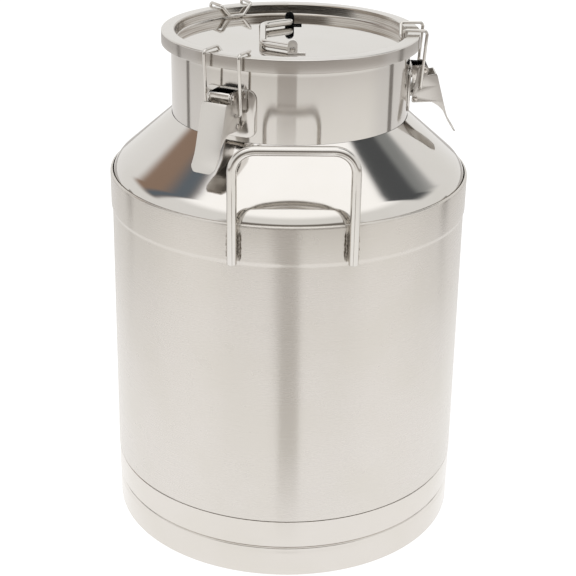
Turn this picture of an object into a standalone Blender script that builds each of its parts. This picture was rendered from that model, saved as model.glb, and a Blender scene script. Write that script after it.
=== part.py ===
"""Forty-litre stainless milk can: a lidded churn with toggle latches and lifting handles.

Dimensions are in millimetres and become metres when a mesh or curve is made. +Z is up. The
origin is the middle of the foot ring's underside, and the lifting handles face -Y and +Y.
"""
from math import asin, cos, degrees, pi, radians, sin, sqrt, tan

import bmesh
import bpy
from mathutils import Matrix, Vector

MM = 0.001
GAP = 0.3                   # clearance between two pieces that touch on the real can
SEGMENTS = 60               # facets of every turned piece, lined up with one another
MERGE = 0.00001

# Vessel
SHEET = 1.0                 # stainless sheet of barrel, shoulder, neck, pan and lid
BARREL_R = 174.0
JOGGLE_R = 175.2            # the barrel's top is opened out to take the shoulder's skirt
JOGGLE_Z = (322.0, 330.0)
BARREL_TOP = 364.3
BARREL_EDGE = (2.9, 5.3)    # how far in and how far down the barrel's rolled top edge reaches
LIP_R = 176.4               # the wall widens evenly to its bottom edge, over the base pan
LIP_Z = 62.0
SHOULDER_R = JOGGLE_R - SHEET - GAP - 0.1
SHOULDER_SKIRT_Z = (332.0, 353.9)
SHOULDER_FILLET = 30.0
CONE_ANGLE = radians(41.0)
NECK_R = 114.0
NECK_BOTTOM = 414.0
NECK_TOP = 489.0
NECK_FLANGE_R = 120.5
NECK_FILLET = 1.2
PAN_R = 176.2
PAN_SPIGOT_R = LIP_R - SHEET - GAP - 0.1
PAN_TOP = 69.0
PAN_STEP = 0.8              # height of the step between the band and the spigot in the barrel
PAN_FLOOR = 32.0
PAN_FILLET = 4.0
FOOT_R = 176.0
FOOT_SHEET = 1.5
FOOT_BEND = 4.0
FOOT_FLANGE_R = (167.0, 169.0)      # inner edges of the foot ring's top and bottom flanges

# Lifting handles
HANDLE_ROD = 9.0
HANDLE_HALF_WIDTH = 53.5
HANDLE_FOOT_Z = 327.0
HANDLE_TOP_Z = 432.5
HANDLE_BEND = 20.0
HANDLE_AXIS_R = JOGGLE_R + HANDLE_ROD / 2 + GAP
HANDLE_Y = sqrt(HANDLE_AXIS_R ** 2 - HANDLE_HALF_WIDTH ** 2)
WELD_R = 1.5
WELD_Z = (330.0, 357.0)

# Lid
LID_R = 123.0
LID_TOP = 499.0
LID_HEM_Z = 486.6
LID_WELL_R = 110.0
LID_DISC_Z = 488.5
LID_CORNER = 1.0
LUG_Y = 58.5
LUG_WIDTH = 9.0
LUG_THICK = 3.0
LUG_HEIGHT = 13.0
LUG_FOOT = (12.0, 1.2)              # reach and thickness of the lug's welded foot
LUG_HOLE_R = 2.4
LID_HANDLE_ROD = 7.0
LID_HANDLE_Z = 493.1
LID_HANDLE_REACH = 27.0
LID_HANDLE_GRIP = 36.0              # half the grip's length
LID_HANDLE_ARM_Y = 53.6
LID_HANDLE_PIN_R = 2.0
LID_HANDLE_PIN_Y = (56.3, 60.8)

# Latches, drawn in the XZ plane of the latch on the can's +X side
LATCH_ANGLES = {"front_left": -120.0, "right": 0.0, "back_left": 120.0}
PIVOT = (127.3, 462.8)              # lever pivot
BAIL_HOLE = (124.0, 446.0)          # where the wire bail turns in the lever
RIVET = (120.1, 435.0)              # cross rivet that ties the lever's cheeks
PLATE_SIZE = (54.0, 44.0, 1.5)      # width, height and thickness of the saddle plate
PLATE_Z = 424.0
PLATE_CORNER = 9.0
EAR_Y = (9.4, 10.9)
CHEEK_Y = (11.3, 12.5)
BRACKET_SHEET = 1.5
BRACKET_X = (116.1, 131.1)          # back edge, and front of the hood's drop
BRACKET_Z = (450.0, 467.0)
BRACKET_NOSE_R = 4.7                # the ears' round front end, about the pivot
BRACKET_DROP = 8.0
BRACKET_LAP = 0.5                   # how far the hood runs into each ear
LEVER_FACE = [(139.1, 459.5), (140.7, 457.0), (143.1, 448.2), (147.5, 432.3), (150.7, 421.3),
              (153.0, 415.0), (156.3, 409.5), (161.6, 401.5)]
LEVER_CHEEK = [(130.5, 457.4), (132.0, 464.8), (127.0, 467.5), (122.5, 466.0), (121.8, 463.7),
               (116.8, 435.0), (116.8, 432.0), (118.0, 431.0), (136.3, 431.7), (142.4, 428.2),
               (146.6, 424.2)]
LEVER_BEND = 4                      # the blade's bend is this point of its face
LEVER_SHEET = 1.2
LEVER_TAB_HALF = 13.5
LEVER_TIP_CORNER = 10.0
PIN_R = 2.0
PIN_HEAD = (3.2, 1.5)               # radius and thickness of a rivet head
RIVET_R = 1.5
RIVET_HEAD = (2.6, 1.0)
BAIL_WIRE = 3.0
BAIL_Y = 17.8
BAIL_ARM_X = 127.6
BAIL_TOP = 504.2
BAIL_HOOK_X = 105.6
BAIL_CROSSBAR = (105.3, 8.0, 493.5)

STEEL = (0.62, 0.60, 0.57, 1.0)
BRIGHT = (0.72, 0.71, 0.70, 1.0)
RUBBER = (0.12, 0.12, 0.12, 1.0)


def clear_scene():
    for obj in list(bpy.data.objects):
        bpy.data.objects.remove(obj)


def new_collection(name):
    collection = bpy.data.collections.new(name)
    bpy.context.scene.collection.children.link(collection)
    return collection


def material(name, colour, roughness, metallic=1.0):
    mat = bpy.data.materials.new(name)
    mat.use_nodes = True
    shader = mat.node_tree.nodes["Principled BSDF"]
    shader.inputs["Base Color"].default_value = colour
    shader.inputs["Roughness"].default_value = roughness
    shader.inputs["Metallic"].default_value = metallic
    return mat


def add(name, data, finish, origin=(0, 0, 0), parent=None):
    """Add a named sub-part whose mesh or curve is drawn in millimetres about its origin."""
    obj = bpy.data.objects.new(name, data)
    PARTS.objects.link(obj)
    obj.location = Vector(origin) * MM
    obj.parent = parent
    if not data.materials:
        data.materials.append(finish)
    return obj


# --- Outlines and paths ---------------------------------------------------------------

def arc(centre, radius, start, end, steps):
    """Points of an arc from start to end degrees, both ends included."""
    turns = [radians(start + (end - start) * i / steps) for i in range(steps + 1)]
    return [(centre[0] + radius * cos(a), centre[1] + radius * sin(a)) for a in turns]


def rounded_box(half_width, low, high, low_corner, high_corner, steps=5):
    """Outline of an upright rectangle with its two lower and two upper corners rounded."""
    inner_low = half_width - low_corner
    inner_high = half_width - high_corner
    return (arc((inner_low, low + low_corner), low_corner, -90, 0, steps)
            + arc((inner_high, high - high_corner), high_corner, 0, 90, steps)
            + arc((-inner_high, high - high_corner), high_corner, 90, 180, steps)
            + arc((-inner_low, low + low_corner), low_corner, 180, 270, steps))


def bend(points, radii, steps=5):
    """Round the inner corners of a path: each corner becomes a curve that leaves its two legs
    at the tangent distance of its bend radius."""
    points = [Vector(p) for p in points]
    path = [points[0]]
    for before, corner, after, radius in zip(points, points[1:], points[2:], radii):
        leg_in = (before - corner).normalized()
        leg_out = (after - corner).normalized()
        reach = radius / tan(leg_in.angle(leg_out) / 2)
        start = corner + leg_in * reach
        end = corner + leg_out * reach
        for i in range(steps + 1):
            t = i / steps
            path.append(start * (1 - t) ** 2 + corner * 2 * t * (1 - t) + end * t ** 2)
    return path + [points[-1]]


def offset(points, distance):
    """Move an open polyline sideways, to the left of its direction, along its vertex normals."""
    moved = []
    for i, point in enumerate(points):
        before = Vector(points[max(i - 1, 0)])
        after = Vector(points[min(i + 1, len(points) - 1)])
        along = (after - before).normalized()
        moved.append((point[0] - along.y * distance, point[1] + along.x * distance))
    return moved


# --- Solids ---------------------------------------------------------------------------

def turned_mesh(profile, segments=SEGMENTS, closed=True):
    """Turn a profile of (radius, height) about Z. It runs down the outer side, and one that is
    not closed starts and ends on the axis."""
    count = len(profile)
    edges = [(i, (i + 1) % count) for i in range(count if closed else count - 1)]
    mesh = bpy.data.meshes.new("profile")
    mesh.from_pydata([(r * MM, 0, z * MM) for r, z in profile], edges, [])
    obj = bpy.data.objects.new("profile", mesh)
    PARTS.objects.link(obj)
    screw = obj.modifiers.new("turn", "SCREW")
    screw.steps = segments
    screw.render_steps = segments
    screw.use_merge_vertices = True
    screw.merge_threshold = MERGE
    screw.use_smooth_shade = True
    return frozen(obj)


def frozen(obj, weld=False):
    """The evaluated mesh of an object in world space. The object is removed."""
    bpy.context.view_layer.update()
    evaluated = obj.evaluated_get(bpy.context.evaluated_depsgraph_get())
    mesh = bpy.data.meshes.new_from_object(evaluated)
    mesh.transform(obj.matrix_world)
    bpy.data.objects.remove(obj)
    if weld:
        work = bmesh.new()
        work.from_mesh(mesh)
        bmesh.ops.remove_doubles(work, verts=work.verts, dist=MERGE)
        work.to_mesh(mesh)
        work.free()
    mesh.materials.clear()
    mesh.shade_smooth()
    mesh.set_sharp_from_angle(angle=radians(30))
    return mesh


def plate_mesh(outlines, low, high, facing="Y"):
    """Extrude flat outlines from low to high. Facing Y they are drawn in XZ, facing X in YZ.
    Outlines inside the first are holes."""
    curve = bpy.data.curves.new("outline", "CURVE")
    curve.dimensions = "2D"
    curve.fill_mode = "BOTH"
    curve.extrude = (high - low) / 2 * MM
    for points in outlines:
        spline = curve.splines.new("POLY")
        spline.points.add(len(points) - 1)
        for slot, (u, v) in zip(spline.points, points):
            slot.co = (u * MM, v * MM, 0, 1)
        spline.use_cyclic_u = True
    obj = bpy.data.objects.new("outline", curve)
    PARTS.objects.link(obj)
    middle = (low + high) / 2 * MM
    if facing == "Y":
        turn = Matrix(((1, 0, 0, 0), (0, 0, -1, middle), (0, 1, 0, 0), (0, 0, 0, 1)))
    else:
        turn = Matrix(((0, 0, 1, middle), (1, 0, 0, 0), (0, 1, 0, 0), (0, 0, 0, 1)))
    obj.matrix_world = turn
    return frozen(obj, weld=True)


def wire_curve(path, radius, thickness=None, resolution=2):
    """A round rod along a path. Thickness gives each point's share of the radius."""
    curve = bpy.data.curves.new("rod", "CURVE")
    curve.dimensions = "3D"
    curve.bevel_depth = radius * MM
    curve.bevel_resolution = resolution
    curve.use_fill_caps = True
    spline = curve.splines.new("POLY")
    spline.points.add(len(path) - 1)
    for slot, point in zip(spline.points, path):
        slot.co = (point[0] * MM, point[1] * MM, point[2] * MM, 1)
    if thickness:
        spline.points.foreach_set("radius", thickness)
    return curve


def combined(mesh, other, operation):
    """Boolean of two meshes, returned as one mesh."""
    obj = bpy.data.objects.new("body", mesh)
    tool = bpy.data.objects.new("cutter", other)
    PARTS.objects.link(obj)
    CUTTERS.objects.link(tool)
    tool.hide_render = True
    tool.display_type = "WIRE"
    boolean = obj.modifiers.new("boolean", "BOOLEAN")
    boolean.operation = operation
    boolean.object = tool
    result = frozen(obj, weld=True)
    bpy.data.objects.remove(tool)
    return result


def rivet_mesh(radius, head, grip, sides=16):
    """A rivet along Y that holds pieces between -grip and +grip under its two domed heads."""
    head_r, head_t = head
    reach = grip + GAP
    profile = [(0, reach + head_t), (head_r * 0.7, reach + head_t * 0.75), (head_r, reach), (radius, reach),
               (radius, -reach), (head_r, -reach), (head_r * 0.7, -reach - head_t * 0.75),
               (0, -reach - head_t)]
    mesh = turned_mesh(profile, sides, closed=False)
    mesh.transform(Matrix.Rotation(pi / 2, 4, "X"))
    return mesh


def about(mesh, origin):
    """Shift a mesh so that a point given in millimetres becomes its origin."""
    mesh.transform(Matrix.Translation(Vector(origin) * -MM))
    return mesh


# --- Vessel ---------------------------------------------------------------------------

def make_barrel():
    reach, drop = BARREL_EDGE
    edge_in = JOGGLE_R - reach
    edge_out = JOGGLE_R - SHEET
    wall = [(JOGGLE_R, JOGGLE_Z[1]), (BARREL_R, JOGGLE_Z[0]), (LIP_R, LIP_Z)]
    outer = [(edge_out, BARREL_TOP), (JOGGLE_R, BARREL_TOP - drop / 2)] + wall
    inner = [(r - SHEET, z) for r, z in reversed(wall)] + [(edge_out, BARREL_TOP - drop), (edge_in, BARREL_TOP)]
    add("barrel", turned_mesh(outer + inner), material("barrel_steel", STEEL, 0.32))


def shoulder_side(thickness):
    """One side of the shoulder sheet, from its neck edge down to its skirt's edge."""
    centre = (SHOULDER_R - SHOULDER_FILLET, SHOULDER_SKIRT_Z[1])
    fillet = arc(centre, SHOULDER_FILLET - thickness, 90 - degrees(CONE_ANGLE), 0, 7)
    edge_r = NECK_R + GAP
    edge_z = fillet[0][1] + (fillet[0][0] - edge_r) * tan(CONE_ANGLE)
    return [(edge_r, edge_z)] + fillet + [(SHOULDER_R - thickness, SHOULDER_SKIRT_Z[0])]


def make_shoulder():
    profile = shoulder_side(0) + shoulder_side(SHEET)[::-1]
    add("shoulder", turned_mesh(profile), material("shoulder_steel", BRIGHT, 0.08))


def make_neck():
    flange_low = NECK_TOP - SHEET
    outer = [(NECK_FLANGE_R, NECK_TOP), (NECK_FLANGE_R, flange_low), (NECK_R + NECK_FILLET, flange_low),
             (NECK_R, flange_low - NECK_FILLET), (NECK_R, NECK_BOTTOM)]
    inner = [(NECK_R - SHEET, NECK_BOTTOM), (NECK_R - SHEET, flange_low - NECK_FILLET + SHEET / 4),
             (NECK_R + SHEET, NECK_TOP)]
    profile = outer + inner
    add("neck", turned_mesh(profile), material("neck_steel", BRIGHT, 0.12))


def make_base_pan():
    outer = arc((PAN_R - PAN_FILLET, PAN_FLOOR + PAN_FILLET), PAN_FILLET, 0, -90, 3)
    inner = arc((PAN_R - PAN_FILLET, PAN_FLOOR + PAN_FILLET), PAN_FILLET - SHEET, -90, 0, 3)
    ledge = LIP_Z - GAP
    spigot = [(PAN_SPIGOT_R, PAN_TOP), (PAN_SPIGOT_R, ledge), (PAN_R, ledge - PAN_STEP)]
    inside = [(r - SHEET, z - SHEET) for r, z in reversed(spigot[1:])] + [(PAN_SPIGOT_R - SHEET, PAN_TOP)]
    profile = [(0, PAN_FLOOR + SHEET)] + inner + inside + spigot + outer + [(0, PAN_FLOOR)]
    add("base_pan", turned_mesh(profile, closed=False), material("base_pan_steel", STEEL, 0.25))


def make_foot_ring():
    top = PAN_FLOOR - GAP
    centre = (FOOT_R - FOOT_BEND, top - FOOT_BEND)
    outer = arc(centre, FOOT_BEND, 90, 0, 3) + [(FOOT_R, 0)]
    inner = [(FOOT_R - FOOT_SHEET, FOOT_SHEET)] + arc(centre, FOOT_BEND - FOOT_SHEET, 0, 90, 3)
    profile = ([(FOOT_FLANGE_R[0], top)] + outer
               + [(FOOT_FLANGE_R[1], 0), (FOOT_FLANGE_R[1], FOOT_SHEET)]
               + inner + [(FOOT_FLANGE_R[0], top - FOOT_SHEET)])
    add("foot_ring", turned_mesh(profile), material("foot_ring_steel", STEEL, 0.22))


# --- Lifting handles ------------------------------------------------------------------

def make_handle(name, side):
    """A bent rod whose legs stand on the joggle; side is -1 for the front and +1 for the back."""
    x = HANDLE_HALF_WIDTH
    y = side * HANDLE_Y
    corners = [(-x, y, HANDLE_FOOT_Z), (-x, y, HANDLE_TOP_Z), (x, y, HANDLE_TOP_Z), (x, y, HANDLE_FOOT_Z)]
    path = bend(corners, [HANDLE_BEND, HANDLE_BEND], steps=6)
    rod = wire_curve(path, HANDLE_ROD / 2, resolution=3)
    add(name, rod, material(name + "_steel", BRIGHT, 0.15))


def make_handle_welds(name, side):
    """Weld beads in the corners between a handle's legs and the joggle, inside and outside."""
    bead_r = JOGGLE_R + WELD_R + GAP
    away = sqrt((HANDLE_ROD / 2 + WELD_R + GAP) ** 2 - (HANDLE_AXIS_R - bead_r) ** 2)
    leg_turn = asin(HANDLE_HALF_WIDTH / HANDLE_AXIS_R)
    finish = material(name + "_steel", STEEL, 0.45)
    for leg, leg_name in ((-1, "left"), (1, "right")):
        for flank, flank_name in ((-1, "inner"), (1, "outer")):
            turn = leg * (leg_turn + flank * away / bead_r)
            x, y = bead_r * sin(turn), side * bead_r * cos(turn)
            bead = wire_curve([(x, y, WELD_Z[0]), (x, y, WELD_Z[1])], WELD_R)
            add("_".join((name, leg_name, flank_name)), bead, finish)


# --- Lid ------------------------------------------------------------------------------

def make_lid():
    """A pressed pan: a sunk disc, a wall up to a flat rim, and a hem down outside the gasket."""
    disc_low = LID_DISC_Z - SHEET
    corner = LID_CORNER
    outer = [(0, LID_DISC_Z), (LID_WELL_R - corner, LID_DISC_Z), (LID_WELL_R, LID_DISC_Z + corner),
             (LID_WELL_R, LID_TOP - corner), (LID_WELL_R + corner, LID_TOP), (LID_R - corner, LID_TOP),
             (LID_R, LID_TOP - corner), (LID_R, LID_HEM_Z)]
    inner = [(LID_R - SHEET, LID_HEM_Z), (LID_R - SHEET, LID_TOP - SHEET),
             (LID_WELL_R + SHEET, LID_TOP - SHEET), (LID_WELL_R + SHEET, disc_low), (0, disc_low)]
    add("lid", turned_mesh(outer + inner, closed=False), material("lid_steel", BRIGHT, 0.06))


def make_gasket():
    """The seal that fills the lid's channel and rests on the neck's flange."""
    inner = LID_WELL_R + SHEET + GAP
    outer = LID_R - SHEET - GAP
    low = NECK_TOP + GAP
    high = LID_TOP - SHEET - GAP
    profile = [(inner, high), (outer, high), (outer, low), (inner, low)]
    add("lid_gasket", turned_mesh(profile), material("gasket_rubber", RUBBER, 0.7, metallic=0.0))


def make_lugs():
    """Two upright ears on the disc that hold the lid handle's pins."""
    low = LID_DISC_Z + GAP
    half = LUG_WIDTH / 2
    crown = low + LUG_HEIGHT - half
    foot_reach, foot_thick = LUG_FOOT
    ear = ([(-half, low), (foot_reach, low), (foot_reach, low + foot_thick), (half, low + foot_thick)]
           + arc((0, crown), half, 0, 180, 8))
    hole = arc((0, LID_HANDLE_Z), LUG_HOLE_R, 0, 337.5, 15)
    for name, side in (("lid_lug_front", -1), ("lid_lug_back", 1)):
        middle = side * LUG_Y
        mesh = plate_mesh([ear, hole], middle - LUG_THICK / 2, middle + LUG_THICK / 2)
        add(name, mesh, material(name + "_steel", BRIGHT, 0.2))


def make_lid_handle():
    """The folding handle, lying over -X. Its ends are turned down to pins that sit in the lugs."""
    shoulder_y, pin_y = LID_HANDLE_PIN_Y
    arm_y = LID_HANDLE_ARM_Y
    front = [(0, -arm_y, 0), (-LID_HANDLE_REACH, -LID_HANDLE_GRIP, 0)]
    back = [(x, -y, z) for x, y, z in reversed(front)]
    rod = bend([(0, -shoulder_y, 0)] + front + back + [(0, shoulder_y, 0)], [4.0, 12.0, 12.0, 4.0], steps=4)
    share = LID_HANDLE_PIN_R / (LID_HANDLE_ROD / 2)     # a pin's share of the rod's radius
    path = [(0, -pin_y, 0), (0, -shoulder_y - GAP, 0)] + rod + [(0, shoulder_y + GAP, 0), (0, pin_y, 0)]
    thickness = [share, share] + [1.0] * len(rod) + [share, share]
    handle = wire_curve(path, LID_HANDLE_ROD / 2, thickness, resolution=3)
    add("lid_handle", handle, material("lid_handle_steel", BRIGHT, 0.12), (0, 0, LID_HANDLE_Z))


# --- Latches --------------------------------------------------------------------------

def latch_plate_mesh():
    """A saddle cut from a ring that hugs the neck."""
    width, height, thick = PLATE_SIZE
    inner = NECK_R + GAP
    outer = inner + thick
    top = PLATE_Z + height
    spare = 5.0
    ring = turned_mesh([(outer, top + spare), (outer, PLATE_Z - spare), (inner, PLATE_Z - spare),
                        (inner, top + spare)])
    face = rounded_box(width / 2, PLATE_Z, top, PLATE_CORNER, PLATE_CORNER)
    return combined(ring, plate_mesh([face], NECK_R / 2, NECK_R + width / 2, facing="X"), "INTERSECT")


def latch_bracket_mesh():
    """A hood with two ears for the lever's pivot pin, a roof and a short drop in front."""
    back, front = BRACKET_X
    low, roof = BRACKET_Z
    sheet = BRACKET_SHEET
    heel = 4.0
    nose = arc(PIVOT, BRACKET_NOSE_R, 50, -50, 6)
    ear = [(back, low + heel), (back, roof)] + nose + [(back + heel, low), (back + 1, low)]
    hole = arc(PIVOT, PIN_R + GAP, 0, 337.5, 15)
    hood = [(back, roof - sheet), (back, roof), (front - 1, roof), (front, roof - 1),
            (front, roof - BRACKET_DROP), (front - sheet, roof - BRACKET_DROP),
            (front - sheet, roof - sheet)]
    bracket = plate_mesh([hood], -EAR_Y[0] - BRACKET_LAP, EAR_Y[0] + BRACKET_LAP)
    for low_y, high_y in (EAR_Y, (-EAR_Y[1], -EAR_Y[0])):
        bracket = combined(bracket, plate_mesh([ear, hole], low_y, high_y), "UNION")
    return bracket


def latch_lever_mesh():
    """The toggle lever: two cheeks joined by a blade that runs on down as the finger tab."""
    lap = 0.05
    tab_back = offset(LEVER_FACE, -LEVER_SHEET - lap)[LEVER_BEND:]
    holes = [arc(PIVOT, PIN_R + GAP, 0, 337.5, 15), arc(BAIL_HOLE, BAIL_WIRE / 2 + GAP, 0, 330, 11),
             arc(RIVET, RIVET_R + GAP, 0, 330, 11)]
    half = CHEEK_Y[1]
    solid = plate_mesh([LEVER_CHEEK + tab_back + LEVER_FACE[::-1]] + holes, -half, half)

    inside = offset(LEVER_FACE, -LEVER_SHEET)[:LEVER_BEND + 1]
    above = LID_TOP
    behind = PIVOT[0] - 2 * CHEEK_Y[1]
    below = inside[-1][1] - 2 * LEVER_SHEET
    hollow = ([(inside[0][0], above)] + inside + [(inside[-1][0] - LEVER_SHEET, below), (behind, below),
                                                  (behind, above)])
    lever = combined(solid, plate_mesh([hollow], -CHEEK_Y[0], CHEEK_Y[0]), "DIFFERENCE")
    tab = rounded_box(LEVER_TAB_HALF, LEVER_FACE[-1][1] - LEVER_SHEET, above, LEVER_TIP_CORNER, 1.0)
    ahead = LEVER_FACE[-1][0] + LEVER_SHEET
    return combined(lever, plate_mesh([tab], behind, ahead, facing="X"), "INTERSECT")


def latch_bail_curve():
    """The wire bail: ends turned into the cheeks, arms up past the rim, a hook over it and a
    narrow crossbar inside. It is drawn about its own hole."""
    hole_x, hole_z = BAIL_HOLE
    bar_x, bar_y, bar_z = BAIL_CROSSBAR
    half = [(hole_x, CHEEK_Y[0], hole_z), (hole_x, BAIL_Y, hole_z), (BAIL_ARM_X, BAIL_Y, BAIL_TOP),
            (BAIL_HOOK_X, BAIL_Y - 0.8, BAIL_TOP), (bar_x, bar_y, bar_z)]
    mirrored = [(x, -y, z) for x, y, z in reversed(half)]
    corners = [(x - hole_x, y, z - hole_z) for x, y, z in half + mirrored]
    path = bend(corners, [2.5, 5.0, 3.5, 1.5, 1.5, 3.5, 5.0, 2.5], steps=4)
    return wire_curve(path, BAIL_WIRE / 2)


def make_latches():
    """Each latch is the same set of pieces, turned about the can's axis on its own empty."""
    pivot = (PIVOT[0], 0, PIVOT[1])
    hole = (BAIL_HOLE[0], 0, BAIL_HOLE[1])
    rivet = (RIVET[0], 0, RIVET[1])
    kit = (
        ("latch_plate", latch_plate_mesh(), (0, 0, 0), 0.18),
        ("latch_bracket", latch_bracket_mesh(), (0, 0, 0), 0.22),
        ("latch_pivot_pin", rivet_mesh(PIN_R, PIN_HEAD, CHEEK_Y[1]), pivot, 0.25),
        ("latch_lever", about(latch_lever_mesh(), pivot), pivot, 0.16),
        ("latch_rivet", rivet_mesh(RIVET_R, RIVET_HEAD, CHEEK_Y[1]), rivet, 0.25),
        ("latch_bail", latch_bail_curve(), hole, 0.12),
    )
    finishes = {piece: material(piece + "_steel", BRIGHT, rough) for piece, _, _, rough in kit}
    for place, angle in LATCH_ANGLES.items():
        frame = bpy.data.objects.new("latch_frame_" + place, None)
        PARTS.objects.link(frame)
        frame.rotation_euler.z = radians(angle)
        for piece, data, origin, _ in kit:
            add(piece + "_" + place, data, finishes[piece], origin, frame)


def main():
    make_base_pan()
    make_foot_ring()
    make_barrel()
    make_shoulder()
    make_neck()
    for name, side in (("side_handle_front", -1), ("side_handle_back", 1)):
        make_handle(name, side)
        make_handle_welds(name + "_weld", side)
    make_lid()
    make_gasket()
    make_lugs()
    make_lid_handle()
    make_latches()


clear_scene()
PARTS = new_collection("milk_can")
CUTTERS = new_collection("milk_can_cutters")
main()
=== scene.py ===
"""Looks for the milk can: fine turned shells, bright wire and rod work, and brushed and polished
stainless steel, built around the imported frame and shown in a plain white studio."""

from math import cos, degrees, pi, radians, sin, tan

import bmesh
import bpy
from mathutils import Matrix, Vector


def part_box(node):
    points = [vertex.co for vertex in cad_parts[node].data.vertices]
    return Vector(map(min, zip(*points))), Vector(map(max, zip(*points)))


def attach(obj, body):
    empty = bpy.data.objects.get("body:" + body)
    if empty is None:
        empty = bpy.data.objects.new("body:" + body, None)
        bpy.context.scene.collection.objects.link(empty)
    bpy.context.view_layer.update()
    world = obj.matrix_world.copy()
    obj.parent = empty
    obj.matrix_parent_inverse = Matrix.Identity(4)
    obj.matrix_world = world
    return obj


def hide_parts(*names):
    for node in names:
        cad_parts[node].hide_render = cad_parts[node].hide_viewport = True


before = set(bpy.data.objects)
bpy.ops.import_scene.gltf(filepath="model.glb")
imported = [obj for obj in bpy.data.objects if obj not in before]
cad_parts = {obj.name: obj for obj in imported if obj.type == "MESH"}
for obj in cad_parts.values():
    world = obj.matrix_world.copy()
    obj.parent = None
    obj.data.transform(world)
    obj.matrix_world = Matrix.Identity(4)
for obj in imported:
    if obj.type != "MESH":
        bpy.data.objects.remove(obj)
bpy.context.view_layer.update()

MM = 0.001
AROUND = 240                # facets of a turned shell
MERGE = 0.000005


# --- Frame dimensions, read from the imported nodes, in millimetres -----------------------

def extent(node):
    """The node's lowest and highest corners in millimetres."""
    low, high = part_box(node)
    return [v / MM for v in low], [v / MM for v in high]


barrel_low, barrel_high = extent("barrel")
shoulder_low, shoulder_high = extent("shoulder")
neck_low, neck_high = extent("neck")
pan_low, pan_high = extent("base_pan")
foot_high = extent("foot_ring")[1]
lid_low, lid_high = extent("lid")
rod_low, rod_high = extent("side_handle_front")
grip_low, grip_high = extent("lid_handle")

SHEET = 1.0
GAP = 0.3
LIP_R = barrel_high[0]
BARREL_R = LIP_R - 2.4
JOGGLE_R = BARREL_R + 1.2
JOGGLE_Z = (325.0, 330.0)   # where the barrel's wall steps out to take the shoulder's skirt
BARREL_TOP = barrel_high[2]
LIP_Z = barrel_low[2]
SHOULDER_R = shoulder_high[0]
SKIRT_LOW = shoulder_low[2]
CONE = radians(41.0)
SHOULDER_FILLET = 30.0
NECK_R = 114.0
FLANGE_R = neck_high[0]
PAN_R = pan_high[0]
SPIGOT_R = LIP_R - SHEET - GAP - 0.1
FOOT_R = foot_high[0]
LID_R = lid_high[0]
LID_TOP = lid_high[2]
WELL_R = LID_R - 13.0
DISC_Z = LID_TOP - 10.5
ROD = rod_high[1] - rod_low[1]
ROD_R = 4.5                 # side handles, drawn round where the frame's rod has facets
HANDLE_BEND = 20.0
GRIP_R = 3.5
WIRE_R = 1.5
WELD_R = 1.5
PIVOT = (127.3, 462.8)      # lever pivot, (radius, height)
RIVET = (120.1, 435.0)
BAIL_HOLE = (124.0, 446.0)
CHEEK_OUT = 12.5            # outer face of a lever's cheek
LATCHES = {"front_left": -120.0, "right": 0.0, "back_left": 120.0}


# --- Profiles and paths -----------------------------------------------------------------

def arc(centre, radius, start, end, steps):
    turns = [radians(start + (end - start) * i / steps) for i in range(steps + 1)]
    return [(centre[0] + radius * cos(a), centre[1] + radius * sin(a)) for a in turns]


def ease(start, end, steps=8):
    """A smooth S between two profile points, as a pressed step in a wall has."""
    out = []
    for i in range(steps + 1):
        t = i / steps
        blend = (1 - cos(pi * t)) / 2
        out.append((start[0] + (end[0] - start[0]) * blend, start[1] + (end[1] - start[1]) * t))
    return out


def bend(points, radii, steps=10):
    """Round the inner corners of a path with true arcs of the given radii."""
    points = [Vector(p) for p in points]
    path = [points[0]]
    for before, corner, after, radius in zip(points, points[1:], points[2:], radii):
        leg_in = (before - corner).normalized()
        leg_out = (after - corner).normalized()
        half = leg_in.angle(leg_out) / 2
        centre = corner + (leg_in + leg_out).normalized() * (radius / sin(half))
        start = corner + leg_in * (radius / tan(half)) - centre
        end = corner + leg_out * (radius / tan(half)) - centre
        sweep = start.angle(end)
        for i in range(steps + 1):
            t = i / steps
            spoke = (start * sin((1 - t) * sweep) + end * sin(t * sweep)) / sin(sweep)
            path.append(centre + spoke)
    return path + [points[-1]]


# --- Pieces -----------------------------------------------------------------------------

def piece(name, mesh, mat, body, nodes):
    """Put a mesh in the scene as a piece that rides on a body and stands for the CAD nodes."""
    obj = bpy.data.objects.new(name, mesh)
    bpy.context.scene.collection.objects.link(obj)
    mesh.materials.clear()
    mesh.materials.append(mat)
    mesh.shade_smooth()
    mesh.set_sharp_from_angle(angle=radians(40))
    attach(obj, body)
    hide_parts(*nodes)
    return obj


def turned(profile, closed=True, segments=AROUND):
    """Mesh of a profile of (radius, height) in millimetres turned about the can's axis."""
    work = bmesh.new()
    rings = []
    for r, z in profile:
        if r < 0.001:
            rings.append([work.verts.new((0, 0, z * MM))] * segments)
            continue
        ring = []
        for i in range(segments):
            a = 2 * pi * i / segments
            ring.append(work.verts.new((r * cos(a) * MM, r * sin(a) * MM, z * MM)))
        rings.append(ring)
    pairs = list(zip(rings, rings[1:]))
    if closed:
        pairs.append((rings[-1], rings[0]))
    for upper, lower in pairs:
        for i in range(segments):
            j = (i + 1) % segments
            corners = []
            for v in (upper[i], upper[j], lower[j], lower[i]):
                if v not in corners:
                    corners.append(v)
            if len(corners) > 2:
                work.faces.new(corners)
    bmesh.ops.recalc_face_normals(work, faces=work.faces)
    mesh = bpy.data.meshes.new("turned")
    work.to_mesh(mesh)
    work.free()
    return mesh


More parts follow.
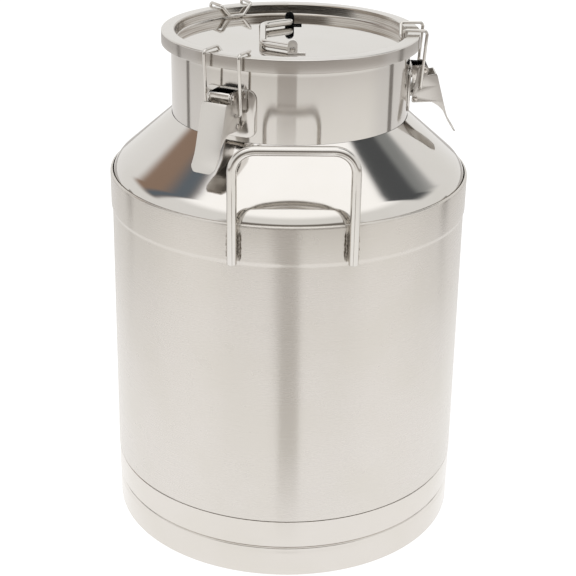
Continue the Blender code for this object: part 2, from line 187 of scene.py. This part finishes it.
def rod(path, radius, shares=None, resolution=7):
    """Mesh of a round rod along a path in millimetres. Shares scale its radius point by point."""
    curve = bpy.data.curves.new("rod", "CURVE")
    curve.dimensions = "3D"
    curve.bevel_depth = radius * MM
    curve.bevel_resolution = resolution
    curve.use_fill_caps = True
    shares = shares or [1.0] * len(path)
    spline = curve.splines.new("POLY")
    spline.points.add(len(path) - 1)
    for slot, point, share in zip(spline.points, path, shares):
        slot.co = (point[0] * MM, point[1] * MM, point[2] * MM, 1)
        slot.radius = share
    obj = bpy.data.objects.new("rod", curve)
    bpy.context.scene.collection.objects.link(obj)
    bpy.context.view_layer.update()
    mesh = bpy.data.meshes.new_from_object(obj.evaluated_get(bpy.context.evaluated_depsgraph_get()))
    bpy.data.objects.remove(obj)
    work = bmesh.new()
    work.from_mesh(mesh)
    bmesh.ops.remove_doubles(work, verts=work.verts, dist=MERGE)
    work.to_mesh(mesh)
    work.free()
    return mesh


def domed(path, dome):
    """Add a rounded end to both ends of a path: returns the longer path and each point's share."""
    def cap(end, inward):
        along = (Vector(end) - Vector(inward)).normalized() * dome
        return [(Vector(end) + along * sin(a), cos(a)) for a in map(radians, (20, 40, 60, 78))]

    head = cap(path[0], path[1])[::-1]
    tail = cap(path[-1], path[-2])
    points = [p for p, _ in head] + list(path) + [p for p, _ in tail]
    shares = [s for _, s in head] + [1.0] * len(path) + [s for _, s in tail]
    return points, shares


def refined(node, width, segments=3, angle=35):
    """A copy of a CAD node's mesh with its flat facets merged and its edges rounded."""
    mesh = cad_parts[node].data.copy()
    work = bmesh.new()
    work.from_mesh(mesh)
    bmesh.ops.remove_doubles(work, verts=work.verts, dist=MERGE)
    bmesh.ops.dissolve_limit(work, angle_limit=radians(1.0), verts=work.verts, edges=work.edges)
    work.to_mesh(mesh)
    work.free()
    obj = bpy.data.objects.new("refined", mesh)
    bpy.context.scene.collection.objects.link(obj)
    bevel = obj.modifiers.new("bevel", "BEVEL")
    bevel.width = width * MM
    bevel.segments = segments
    bevel.limit_method = "ANGLE"
    bevel.angle_limit = radians(angle)
    bevel.use_clamp_overlap = True
    bpy.context.view_layer.update()
    result = bpy.data.meshes.new_from_object(obj.evaluated_get(bpy.context.evaluated_depsgraph_get()))
    bpy.data.objects.remove(obj)
    return result


# --- Materials --------------------------------------------------------------------------

class Nodes:
    """Short names for building a node tree."""

    def __init__(self, tree):
        self.tree = tree

    def add(self, kind, **sockets):
        node = self.tree.nodes.new(kind)
        for name, value in sockets.items():
            self.feed(node.inputs[name.replace("_", " ")], value)
        return node

    def feed(self, socket, value):
        if isinstance(value, bpy.types.NodeSocket):
            self.tree.links.new(value, socket)
        else:
            socket.default_value = value

    def math(self, operation, *values):
        node = self.tree.nodes.new("ShaderNodeMath")
        node.operation = operation
        for socket, value in zip(node.inputs, values):
            self.feed(socket, value)
        return node.outputs[0]

    def spread(self, value, low, high, to_low=0.0, to_high=1.0, smooth=True):
        node = self.tree.nodes.new("ShaderNodeMapRange")
        node.interpolation_type = "SMOOTHSTEP" if smooth else "LINEAR"
        for name, number in (("Value", value), ("From Min", low), ("From Max", high), ("To Min", to_low),
                             ("To Max", to_high)):
            self.feed(node.inputs[name], number)
        return node.outputs[0]

    def band(self, value, low, high, soft):
        rise = self.spread(value, low - soft, low + soft)
        fall = self.spread(value, high - soft, high + soft, 1.0, 0.0)
        return self.math("MULTIPLY", rise, fall)

    def noise(self, vector, scale, detail=2.0, roughness=0.5):
        node = self.add("ShaderNodeTexNoise", Vector=vector, Scale=scale, Detail=detail, Roughness=roughness)
        return node.outputs[0]

    def join(self, x, y, z):
        return self.add("ShaderNodeCombineXYZ", X=x, Y=y, Z=z).outputs[0]

    def mix(self, factor, a, b):
        node = self.tree.nodes.new("ShaderNodeMix")
        node.data_type = "RGBA"
        self.feed(node.inputs[0], factor)
        self.feed(node.inputs[6], a)
        self.feed(node.inputs[7], b)
        return node.outputs[2]


def steel(name, colour, roughness, grain="around", streak=0.05, smudge=0.04, bump=0.15, anisotropy=0.0,
          radius=0.17, rim=None, edge_tint=1.0):
    """Stainless steel. Grain runs around the can's axis, over the lathe's turns, or along the piece;
    streak is how much the grain changes roughness, and smudge how much handling marks do. A rim is
    the (radius, roughness) of a satin band outside a polished middle, with painted shade in its wall:
    dark streaks laid along the lathe's turns.
    The edge tint is how much of the glare at a shallow angle is left."""
    mat = bpy.data.materials.new(name)
    mat.use_nodes = True
    n = Nodes(mat.node_tree)
    shader = mat.node_tree.nodes["Principled BSDF"]
    where = n.add("ShaderNodeTexCoord").outputs["Object"]
    split = n.add("ShaderNodeSeparateXYZ", Vector=where)
    x, y, z = split.outputs
    turn = n.math("ARCTAN2", x, n.math("MULTIPLY", y, -1.0))
    girth = n.math("MULTIPLY", turn, radius)
    reach = n.math("SQRT", n.math("ADD", n.math("MULTIPLY", x, x), n.math("MULTIPLY", y, y)))
    if grain == "around":
        lines = n.join(n.math("MULTIPLY", girth, 12.0), 0.0, n.math("MULTIPLY", z, 2600.0))
    elif grain == "lathe":
        lines = n.join(n.math("MULTIPLY", reach, 1500.0), n.math("MULTIPLY", z, 1500.0), girth)
    else:
        along = n.math("MULTIPLY", z, 60.0)
        lines = n.join(n.math("MULTIPLY", x, 1100.0), n.math("MULTIPLY", y, 1100.0), along)
    fine = n.noise(lines, 1.0, 3.0, 0.6)
    broad = n.noise(where, 14.0, 3.0, 0.55)
    marks = n.noise(where, 60.0, 2.0, 0.5)
    rough = n.math("ADD", roughness, n.math("MULTIPLY", n.math("SUBTRACT", fine, 0.5), streak))
    rough = n.math("ADD", rough, n.math("MULTIPLY", n.math("SUBTRACT", broad, 0.5), smudge))
    rough = n.math("ADD", rough, n.math("MULTIPLY", n.spread(marks, 0.62, 0.8), smudge))
    tint = n.spread(broad, 0.3, 0.7)
    darker = [c * 0.97 for c in colour[:2]] + [colour[2] * 0.955, 1.0]
    tone = n.mix(tint, darker, (*colour, 1.0))
    if rim:
        rim_r, rim_rough = rim
        soft = 0.0004
        wall_end = rim_r + 0.0026
        satin = n.spread(reach, rim_r - soft, rim_r + soft, 0.0, rim_rough - roughness)
        rough = n.math("ADD", rough, satin)
        # Painted shade: the wall inside the rim is darkened in streaks along the lathe's turns.
        wall = n.band(reach, rim_r + soft, wall_end, 0.0003)
        lathe = n.join(n.math("MULTIPLY", girth, 9.0), 0.0, n.math("MULTIPLY", z, 700.0))
        turns = n.noise(lathe, 1.0, 2.0, 0.5)
        painted_wall_shade = n.math("MULTIPLY", wall, n.spread(turns, 0.42, 0.62))
        tone = n.mix(painted_wall_shade, tone, (0.36, 0.315, 0.27, 1.0))
    n.feed(shader.inputs["Roughness"], n.math("MAXIMUM", rough, 0.02))
    n.feed(shader.inputs["Base Color"], tone)
    shader.inputs["Metallic"].default_value = 1.0
    shader.inputs["Specular Tint"].default_value = (edge_tint, edge_tint, edge_tint, 1.0)
    shader.inputs["Anisotropic"].default_value = anisotropy
    if anisotropy:
        across_the_grain = 0.25
        shader.inputs["Anisotropic Rotation"].default_value = across_the_grain
        tangent = n.add("ShaderNodeTangent")
        tangent.direction_type = "RADIAL"
        tangent.axis = "Z"
        n.feed(shader.inputs["Tangent"], tangent.outputs[0])
    lift = n.add("ShaderNodeBump", Strength=bump, Distance=0.00002, Height=fine)
    n.feed(shader.inputs["Normal"], lift.outputs[0])
    return mat


def rubber(name):
    """Black rubber with a fine pebble and a faint bloom."""
    mat = bpy.data.materials.new(name)
    mat.use_nodes = True
    n = Nodes(mat.node_tree)
    shader = mat.node_tree.nodes["Principled BSDF"]
    where = n.add("ShaderNodeTexCoord").outputs["Object"]
    speck = n.noise(where, 900.0, 3.0, 0.6)
    bloom = n.noise(where, 40.0, 2.0, 0.5)
    n.feed(shader.inputs["Base Color"], n.mix(bloom, (0.02, 0.02, 0.02, 1), (0.05, 0.05, 0.048, 1)))
    n.feed(shader.inputs["Roughness"], n.spread(speck, 0.3, 0.7, 0.55, 0.75))
    lift = n.add("ShaderNodeBump", Strength=0.3, Distance=0.0001, Height=speck)
    n.feed(shader.inputs["Normal"], lift.outputs[0])
    return mat


SATIN = (0.655, 0.622, 0.585)
POLISHED = (0.665, 0.640, 0.612)
WARM = (0.60, 0.56, 0.52)
# Pale painted highlight for the front lid lug, brighter than the rest of the steel.
PAINTED_HIGHLIGHT = (0.86, 0.84, 0.82)
# Near-black painted shade for the hood roofs and the back lid lug, standing for the dark they mirror.
PAINTED_SHADE = (0.016, 0.018, 0.020)
# Painted shade for the weld beads in the corners beside the handle legs.
WELD_BEAD_SHADE = (0.30, 0.27, 0.24)

barrel_steel = steel("barrel_satin", SATIN, 0.27, "around", 0.04, 0.02, 0.03, 0.92)
shoulder_steel = steel("shoulder_polish", POLISHED, 0.075, "lathe", 0.03, 0.02, 0.03)
neck_steel = steel("neck_polish", POLISHED, 0.12, "around", 0.03, 0.02, 0.03, 0.8, radius=0.114)
pan_steel = steel("base_band_satin", SATIN, 0.24, "around", 0.05, 0.02, 0.06, 0.7)
foot_steel = steel("foot_satin", SATIN, 0.22, "around", 0.05, 0.03, 0.06, 0.7)
lid_steel = steel("lid_mirror", POLISHED, 0.045, "lathe", 0.02, 0.02, 0.03, radius=0.11,
                  rim=(0.1087, 0.15))
rod_steel = steel("handle_rod_polish", POLISHED, 0.12, "piece", 0.05, 0.04, 0.05)
grip_steel = steel("lid_handle_polish", POLISHED, 0.09, "piece", 0.04, 0.03, 0.04)
latch_steel = steel("latch_sheet", POLISHED, 0.11, "piece", 0.05, 0.04, 0.06)
# Painted shade: near-black steel with little glare at its edges, for the hood roofs and the back lid lug.
painted_shade_steel = steel("steel_painted_shade", PAINTED_SHADE, 0.16, "piece", 0.05, 0.04, 0.06, edge_tint=0.12)
lever_steel = steel("lever_satin", POLISHED, 0.3, "piece", 0.08, 0.04, 0.05)
# Painted highlight: the front lid lug's satin steel is coloured pale, brighter than the other steel.
highlight_lug_steel = steel("lid_lug_satin_painted_highlight", PAINTED_HIGHLIGHT, 0.42, "piece", 0.08, 0.05, 0.1)
wire_steel = steel("bail_wire", POLISHED, 0.06, "piece", 0.05, 0.03, 0.04)
pin_steel = steel("rivet_steel", WARM, 0.2, "piece", 0.08, 0.06, 0.1)
# Painted shade: the weld beads are coloured dark for the shade in the corners beside each leg.
weld_steel = steel("weld_bead", WELD_BEAD_SHADE, 0.4, "piece", 0.15, 0.1, 0.5)
gasket_rubber = rubber("gasket_rubber")


# --- Vessel -----------------------------------------------------------------------------

def make_barrel():
    """Wall that widens evenly to its bottom edge, stepped out at the top for the shoulder's skirt,
    with its top edge rolled in to meet the shoulder."""
    top = BARREL_TOP
    roll = [(-2.3, -0.2), (-2.0, 0.0), (-1.6, 0.0), (-0.9, -0.35), (-0.35, -1.1), (-0.1, -2.0), (0.0, -3.0)]
    outer = [(JOGGLE_R + dr, top + dz) for dr, dz in roll]
    step_low, step_high = JOGGLE_Z
    outer += ease((JOGGLE_R, step_high), (BARREL_R, step_low)) + [(LIP_R, LIP_Z + 0.4)]
    edge = arc((LIP_R - 0.4, LIP_Z + 0.4), 0.4, 0, -90, 4)
    inner_r = JOGGLE_R - SHEET
    inner = [(LIP_R - SHEET, LIP_Z)] + ease((BARREL_R - SHEET, step_low), (inner_r, step_high))
    inner += [(inner_r, top - 5.3), (inner_r - 0.8, top - 3.0), (JOGGLE_R - 2.3, top - 0.8)]
    piece("barrel_shell", turned(outer + edge[1:] + inner), barrel_steel, "can", ["barrel"])


def make_shoulder():
    """Skirt, rolled corner and cone, ending in a thin edge against the neck."""
    edge_r = NECK_R + GAP
    meet_r = SHOULDER_R - SHOULDER_FILLET * (1 - sin(CONE))
    meet_z = shoulder_high[2] - (meet_r - edge_r) * tan(CONE)
    centre = (SHOULDER_R - SHOULDER_FILLET, meet_z - SHOULDER_FILLET * cos(CONE))

    def side(thick):
        bow = arc(centre, SHOULDER_FILLET - thick, 90 - degrees(CONE), 0, 32)
        edge_z = bow[0][1] + (bow[0][0] - edge_r) * tan(CONE)
        cone = []
        for i in range(10):
            t = i / 10
            cone.append((edge_r + (bow[0][0] - edge_r) * t, edge_z + (bow[0][1] - edge_z) * t))
        return cone + bow + [(SHOULDER_R - thick, SKIRT_LOW)]

    profile = side(0.0) + side(SHEET)[::-1]
    piece("shoulder_shell", turned(profile), shoulder_steel, "can", ["shoulder"])


def make_neck():
    """Straight wall that turns out into a thin flange at the top."""
    low = neck_low[2]
    top = neck_high[2]
    under = top - SHEET
    soft = 0.3
    root = 1.2
    outer = [(FLANGE_R - soft, top), (FLANGE_R, top - soft), (FLANGE_R, under + soft)]
    outer += [(FLANGE_R - soft, under)]
    fillet = arc((NECK_R + root, under - root), root, 90, 180, 6)
    wall = [(NECK_R, under - root + (low - under + root) * i / 12) for i in range(1, 13)]
    inside = [(NECK_R - SHEET, low)] + arc((NECK_R + 1.0, top - 2.0), 2.0, 180, 90, 6)
    piece("neck_shell", turned(outer + fillet + wall + inside), neck_steel, "can", ["neck"])


def make_base():
    """Base pan whose spigot stands in the barrel, and the rolled foot ring under it."""
    floor = pan_low[2]
    corner = 2.2
    bow = (PAN_R - corner, floor + corner)
    ledge = LIP_Z - GAP
    spigot = [(SPIGOT_R - 0.4, pan_high[2]), (SPIGOT_R, pan_high[2] - 0.4), (SPIGOT_R, ledge)]
    spigot += [(SPIGOT_R, ledge - 0.6), (PAN_R - 0.3, ledge - 0.8), (PAN_R, ledge - 1.1)]
    inside_r = SPIGOT_R - SHEET
    inside = [(PAN_R - SHEET, ledge - 2.2), (inside_r, ledge - 1.6), (inside_r, pan_high[2])]
    pan = [(0, floor + SHEET)] + arc(bow, corner - SHEET, -90, 0, 8) + inside + spigot
    pan += arc(bow, corner, 0, -90, 10) + [(0, floor)]
    piece("base_pan_shell", turned(pan, closed=False), pan_steel, "can", ["base_pan"])

    top = foot_high[2]
    sheet = 1.5
    flange_r = FOOT_R - 9.0
    inturn_r = FOOT_R - 7.0
    crown_r = 2.4
    waist_r = FOOT_R - 0.6
    hem = 1.2
    crown = (waist_r - crown_r, top - crown_r)
    waist = ease((waist_r, top - crown_r), (FOOT_R, top - 8.0), 6)
    outer = [(flange_r, top)] + arc(crown, crown_r, 90, 0, 10) + waist
    outer += arc((FOOT_R - hem, hem), hem, 0, -90, 6)
    inner = [(inturn_r, 0.0), (inturn_r, sheet)]
    inner += arc((waist_r - sheet, sheet + hem / 2), hem / 2, -90, 0, 4)
    inner += arc(crown, crown_r - sheet, 0, 90, 8) + [(flange_r, top - sheet)]
    piece("foot_ring_shell", turned(outer + inner), foot_steel, "can", ["foot_ring"])


def weld_bead(node):
    """Mesh of a thin scalloped bead that tapers at both ends, through the middle of its CAD node."""
    low, high = extent(node)
    x = (low[0] + high[0]) / 2
    y = (low[1] + high[1]) / 2
    count = 72
    bead = []
    swell = []
    for i in range(count + 1):
        t = i / count
        taper = min(1.0, 6.0 * t + 0.2, 6.0 * (1 - t) + 0.2)
        ripple = abs(sin(pi * 8 * t + 0.7 * sin(5 * t)))
        bead.append((x + 0.25 * sin(19 * t), y, low[2] + (high[2] - low[2]) * t))
        swell.append(taper * (0.42 + 0.34 * ripple))
    return rod(bead, WELD_R, swell, 5)


def make_side_handles():
    """Bent rods with domed ends, and a weld bead in each corner beside a leg."""
    half = rod_high[0] - ROD / 2
    top = rod_high[2] - ROD / 2
    dome = 1.6
    foot = rod_low[2] + dome
    for name in ("front", "back"):
        low, high = extent("side_handle_" + name)
        y = (low[1] + high[1]) / 2
        corners = [(-half, y, foot), (-half, y, top), (half, y, top), (half, y, foot)]
        path, shares = domed(bend(corners, [HANDLE_BEND, HANDLE_BEND], 16), dome)
        piece("side_handle_rod_" + name, rod(path, ROD_R, shares, 10), rod_steel, "can",
              ["side_handle_" + name])
        for leg in ("left", "right"):
            for flank in ("inner", "outer"):
                node = f"side_handle_{name}_weld_{leg}_{flank}"
                piece(f"weld_bead_{name}_{leg}_{flank}", weld_bead(node), weld_steel, "can", [node])


# --- Lid --------------------------------------------------------------------------------

def make_lid():
    """Pressed lid with a sunk disc, a channelled rim and its gasket."""
    top = LID_TOP
    hem = lid_low[2]
    under = DISC_Z - SHEET
    root = 1.5
    lip = 1.2
    well = arc((WELL_R - root, DISC_Z + root), root, -90, 0, 8)
    lip_in = arc((WELL_R + lip, top - lip), lip, 180, 90, 8)
    lip_out = arc((LID_R - lip, top - lip), lip, 90, 0, 8)
    edge = [(LID_R, hem + 0.3), (LID_R - 0.3, hem), (LID_R - SHEET, hem)]
    disc = [(WELL_R * i / 12, DISC_Z) for i in range(12)]
    inside = WELL_R + SHEET
    channel = [(LID_R - SHEET, top - SHEET), (inside, top - SHEET), (inside, under), (0, under)]
    profile = disc + well + lip_in + lip_out + edge + channel
    piece("lid_shell", turned(profile, closed=False), lid_steel, "lid", ["lid"])

    low, high = extent("lid_gasket")
    inner = WELL_R + SHEET + GAP
    outer = high[0]
    soft = 0.5
    round_low = 0.8
    ring = [(inner + soft, high[2]), (outer - soft, high[2]), (outer, high[2] - soft),
            (outer, low[2] + round_low), (outer - round_low, low[2]), (inner + round_low, low[2]),
            (inner, low[2] + round_low), (inner, high[2] - soft)]
    piece("gasket_ring", turned(ring), gasket_rubber, "lid", ["lid_gasket"])


def make_lid_handle():
    """Polished grip with smooth bends and necked-down pins, and the two lugs it turns in."""
    height = (grip_low[2] + grip_high[2]) / 2
    reach = -grip_low[0] - GRIP_R
    pin_end = grip_high[1]
    pin_r = 2.0
    half_grip, arm, neck_y = 36.0, 53.6, 56.3
    share = pin_r / GRIP_R
    front = [(0, -arm, height), (-reach, -half_grip, height)]
    back = [(x, -y, z) for x, y, z in reversed(front)]
    path = bend([(0, -neck_y, height)] + front + back + [(0, neck_y, height)], [4.0, 13.0, 13.0, 4.0], 12)
    pin_near = [(0, -neck_y - 0.25, height), (0, -pin_end + 0.3, height), (0, -pin_end, height)]
    pin_far = [(x, -y, z) for x, y, z in pin_near]
    shares = [share * 0.75, share, share] + [1.0] * len(path) + [share, share, share * 0.75]
    mesh = rod(pin_near[::-1] + path + pin_far, GRIP_R, shares, 9)
    piece("lid_handle_grip", mesh, grip_steel, "lid_handle", ["lid_handle"])
    # The front lug gets a painted highlight in pale steel, and the back lug painted shade in near-black
    # steel.
    for side, finish in (("front", highlight_lug_steel), ("back", painted_shade_steel)):
        plate = refined("lid_lug_" + side, 0.5)
        piece("lid_lug_plate_" + side, plate, finish, "lid", ["lid_lug_" + side])


# --- Latches ----------------------------------------------------------------------------

def bail_path():
    """The sprung wire drawn down tight: ends in the cheeks, arms past the rim, hook and crossbar."""
    hole_x, hole_z = BAIL_HOLE
    arm_y = 17.8
    crest = LID_TOP + 2.7
    bar = (105.3, 8.0, DISC_Z + 2.4)
    half = [(hole_x, 11.5, hole_z), (hole_x, arm_y, hole_z), (127.6, arm_y, crest),
            (105.8, arm_y - 0.8, crest), bar]
    mirrored = [(x, -y, z) for x, y, z in reversed(half)]
    radii = [2.6, 3.4, 2.6, 2.2]
    return bend(half + mirrored, radii + radii[::-1], 10)


def placed(path, angle):
    """The path turned about the can's axis."""
    turn = Matrix.Rotation(radians(angle), 4, "Z")
    return [turn @ Vector(p) for p in path]


def rivet(radius, head_r, head_t, grip):
    """A cross pin along Y with low domed heads outside the cheeks."""
    dome = [(head_r * sin(radians(a)), grip + GAP + head_t * cos(radians(a))) for a in range(0, 91, 15)]
    profile = [(r, z) for r, z in dome] + [(radius, grip + GAP)]
    profile += [(r, -z) for r, z in reversed(profile)]
    mesh = turned(profile, closed=False, segments=40)
    mesh.transform(Matrix.Rotation(pi / 2, 4, "X"))
    return mesh


def paint_shade_on_hood(bracket):
    """Give the faces on top of a bracket's hood painted shade: near-black steel for the dark their roof
    mirrors.
    """
    mesh = bracket.data
    mesh.materials.append(painted_shade_steel)
    roof = max(v.co.z for v in mesh.vertices) - 1.0 * MM
    for face in mesh.polygons:
        if face.normal.z > 0.9 and face.center.z > roof:
            face.material_index = 1


def make_latches():
    """Three latches: edged sheets of plate, bracket and lever, domed pins, and the sprung bail."""
    for place, angle in LATCHES.items():
        turn = Matrix.Rotation(radians(angle), 4, "Z")
        lever = "lever_" + place
        sheets = (("latch_plate", "can", 0.4, latch_steel), ("latch_bracket", "can", 0.35, latch_steel),
                  ("latch_lever", lever, 0.3, lever_steel))
        for kind, body, width, finish in sheets:
            node = f"{kind}_{place}"
            sheet = piece(f"{kind}_sheet_{place}", refined(node, width), finish, body, [node])
            # The bracket's hood roof gets painted shade in near-black steel.
            if kind == "latch_bracket":
                paint_shade_on_hood(sheet)
        pins = (("latch_pivot_pin", "can", PIVOT, (2.0, 3.2, 1.3)),
                ("latch_rivet", lever, RIVET, (1.5, 2.6, 0.9)))
        for kind, body, spot, sizes in pins:
            mesh = rivet(*sizes, CHEEK_OUT)
            mesh.transform(turn @ Matrix.Translation(Vector((spot[0], 0, spot[1])) * MM))
            node = f"{kind}_{place}"
            piece(f"{kind}_domed_{place}", mesh, pin_steel, body, [node])
        wire = rod(placed(bail_path(), angle), WIRE_R)
        piece("bail_wire_" + place, wire, wire_steel, "bail_" + place, ["latch_bail_" + place])


# --- Studio -----------------------------------------------------------------------------

WHITE = (1.0, 1.0, 1.0, 1.0)
TABLE_NEAR = (1.08, 1.08, 1.08, 1.0)
TABLE = (0.97, 0.955, 0.93, 1.0)
TABLE_EDGE = (0.88, 0.86, 0.83, 1.0)
TABLE_BESIDE = (0.58, 0.57, 0.57, 1.0)
FLOOR_BEYOND = (0.34, 0.31, 0.28, 1.0)
BACKDROP = (0.97, 0.965, 0.95, 1.0)
BANK = (1.42, 1.42, 1.42, 1.0)
ROOM = (0.22, 0.20, 0.18, 1.0)
DUSK = (0.3, 0.31, 0.31, 1.0)
DARK_GAP = (0.10, 0.105, 0.11, 1.0)
BROWN_GAP = (0.35, 0.245, 0.185, 1.0)
BLUE_GAP = (0.15, 0.18, 0.21, 1.0)
CORNER = (0.26, 0.245, 0.23)
STAND = (0.44, 0.405, 0.37)
STRIP_NEAR = (0.80, 0.78, 0.75)
STRIP_FAR = (0.50, 0.475, 0.45)

def card(name, corners, colour, far_colour=None, span=(0.0, 1.0)):
    """A flat panel that only reflections see. With a far colour it changes over a span of Y."""
    mesh = bpy.data.meshes.new(name)
    mesh.from_pydata(corners, [], [tuple(range(len(corners)))])
    obj = bpy.data.objects.new(name, mesh)
    bpy.context.scene.collection.objects.link(obj)
    mat = bpy.data.materials.new(name)
    mat.use_nodes = True
    mat.node_tree.nodes.clear()
    n = Nodes(mat.node_tree)
    shade = (*colour, 1.0)
    if far_colour:
        split = n.add("ShaderNodeSeparateXYZ", Vector=n.add("ShaderNodeTexCoord").outputs["Object"])
        nearness = n.spread(split.outputs[1], span[1], span[0], smooth=False)
        shade = n.mix(nearness, (*far_colour, 1.0), shade)
    glow = n.add("ShaderNodeEmission", Color=shade)
    out = n.add("ShaderNodeOutputMaterial")
    n.feed(out.inputs["Surface"], glow.outputs[0])
    mesh.materials.append(mat)
    obj.visible_camera = False
    obj.visible_shadow = False
    obj.visible_diffuse = False


def make_floor():
    """A white table that glows evenly near the can and fades in front, where only the steel
    sees it."""
    bpy.ops.mesh.primitive_plane_add(size=8.0, location=(0, 0, -0.0002))
    floor = bpy.context.object
    floor.name = "studio_floor"
    mat = bpy.data.materials.new("studio_floor")
    mat.use_nodes = True
    n = Nodes(mat.node_tree)
    shader = mat.node_tree.nodes["Principled BSDF"]
    split = n.add("ShaderNodeSeparateXYZ", Vector=n.add("ShaderNodeTexCoord").outputs["Object"])
    x, y, _ = split.outputs
    reach = n.math("SQRT", n.math("ADD", n.math("MULTIPLY", x, x), n.math("MULTIPLY", y, y)))
    near = n.mix(n.spread(reach, 0.3, 1.0, smooth=False), TABLE_NEAR, TABLE)
    middle = n.mix(n.spread(reach, 1.2, 2.0), near, TABLE_EDGE)
    far = n.mix(n.spread(reach, 1.95, 2.15), middle, FLOOR_BEYOND)
    beside = n.math("MULTIPLY", n.spread(y, -0.5, 0.2), n.spread(reach, 0.3, 1.0, 0.0, 0.5))
    glow = n.mix(beside, far, TABLE_BESIDE)
    seen = n.add("ShaderNodeLightPath").outputs["Is Camera Ray"]
    shader.inputs["Base Color"].default_value = (0.1, 0.1, 0.1, 1.0)
    shader.inputs["Roughness"].default_value = 1.0
    shader.inputs["Specular IOR Level"].default_value = 0.0
    shader.inputs["Emission Strength"].default_value = 1.0
    n.feed(shader.inputs["Emission Color"], n.mix(seen, glow, WHITE))
    floor.data.materials.append(mat)


def make_world():
    """White to the camera. To everything else it is a studio: a white backdrop, a bright bank
    overhead, a dark room behind the camera, and darker gaps on both sides of the bank."""
    world = bpy.data.worlds.new("studio")
    bpy.context.scene.world = world
    world.use_nodes = True
    tree = world.node_tree
    tree.nodes.clear()
    n = Nodes(tree)
    split = n.add("ShaderNodeSeparateXYZ", Vector=n.add("ShaderNodeTexCoord").outputs["Generated"])
    x, y, z = split.outputs
    right = n.math("ARCTAN2", y, x)
    left = n.math("ARCTAN2", y, n.math("MULTIPLY", x, -1.0))
    bank = n.math("MULTIPLY", n.spread(z, 0.6, 0.82), n.spread(y, 0.35, 0.15))
    room = n.math("MULTIPLY", n.band(z, -0.3, 0.40, 0.03), n.spread(y, -0.62, -0.8))
    high = n.spread(z, 0.93, 0.98, 1.0, 0.0)
    above_left = n.math("MULTIPLY", n.spread(z, 0.28, 0.44), high)
    above_right = n.math("MULTIPLY", n.spread(z, 0.36, 0.62), high)
    dusk_right = n.math("MULTIPLY", above_right, n.band(right, radians(10), radians(36), radians(2.5)))
    gap_right = n.math("MULTIPLY", above_right, n.band(right, radians(7), radians(25), radians(2.5)))
    gap_left = n.math("MULTIPLY", above_left, n.band(left, radians(9), radians(41), radians(4)))
    blue_left = n.math("MULTIPLY", above_left, n.band(left, radians(9), radians(23), radians(6)))
    glow = n.mix(bank, BACKDROP, BANK)
    glow = n.mix(dusk_right, glow, DUSK)
    glow = n.mix(gap_right, glow, DARK_GAP)
    glow = n.mix(gap_left, glow, BROWN_GAP)
    glow = n.mix(blue_left, glow, BLUE_GAP)
    glow = n.mix(room, glow, ROOM)
    seen = n.add("ShaderNodeLightPath").outputs["Is Camera Ray"]
    studio = n.add("ShaderNodeBackground", Color=n.mix(seen, glow, WHITE), Strength=1.0)
    out = n.add("ShaderNodeOutputWorld")
    n.feed(out.inputs["Surface"], studio.outputs[0])


def make_cards():
    """Dark shapes that show only in the steel: the strip the camera stand leaves on the table, the
    stand's front and the studio's two far corners."""
    lift = 0.0006
    near, far = -0.30, -1.05
    left_edge = [(-0.024, near), (-0.031, -0.39), (-0.051, -0.53), (-0.132, -0.815), (-0.215, far)]
    right_edge = [(0.058, far), (0.076, -0.82), (0.055, -0.53), (0.040, -0.39), (0.024, near)]
    strip = [(x, y, lift) for x, y in left_edge + right_edge]
    card("stand_reflection", strip, STRIP_NEAR, STRIP_FAR, (near, far))
    stand = [(-0.36, -1.55, 0.002), (0.12, -1.55, 0.002), (0.12, -1.55, 0.25), (-0.36, -1.55, 0.25)]
    card("stand_front", stand, STAND)
    foot, reach, height = 0.001, 1.09, 0.4
    for name, side, low, high in (("right", 1, 12.5, 19.0), ("left", -1, 18.5, 23.5)):
        a = (side * reach * cos(radians(low)), reach * sin(radians(low)))
        b = (side * reach * cos(radians(high)), reach * sin(radians(high)))
        card("corner_" + name, [(*a, foot), (*b, foot), (*b, height), (*a, height)], CORNER)


def make_light():
    """A soft bank above the can, which no reflection shows."""
    data = bpy.data.lights.new("key_bank", "AREA")
    data.shape = "RECTANGLE"
    data.size = 1.6
    data.size_y = 1.2
    data.energy = 22.0
    key = bpy.data.objects.new("key_bank", data)
    bpy.context.scene.collection.objects.link(key)
    key.location = (-0.3, -0.9, 2.2)
    key.rotation_euler = (Vector((0, 0, 0.3)) - key.location).to_track_quat("-Z", "Y").to_euler()
    key.visible_glossy = False
    key.visible_camera = False


def make_camera():
    """A long lens that looks down on the can from a little left of its front."""
    place = (-0.0352, -1.2589, 0.7848)
    yaw, pitch, roll = -1.66, 66.21, 0.979
    data = bpy.data.cameras.new("camera")
    data.sensor_width = 36.0
    data.lens = 83.54
    camera = bpy.data.objects.new("camera", data)
    bpy.context.scene.collection.objects.link(camera)
    turn = (Matrix.Rotation(radians(yaw), 4, "Z") @ Matrix.Rotation(radians(pitch), 4, "X")
            @ Matrix.Rotation(radians(roll), 4, "Z"))
    camera.matrix_world = Matrix.Translation(place) @ turn
    bpy.context.scene.camera = camera


make_barrel()
make_shoulder()
make_neck()
make_base()
make_side_handles()
make_lid()
make_lid_handle()
make_latches()
make_floor()
make_world()
make_cards()
make_light()
make_camera()
bpy.context.scene.view_settings.view_transform = "Standard"
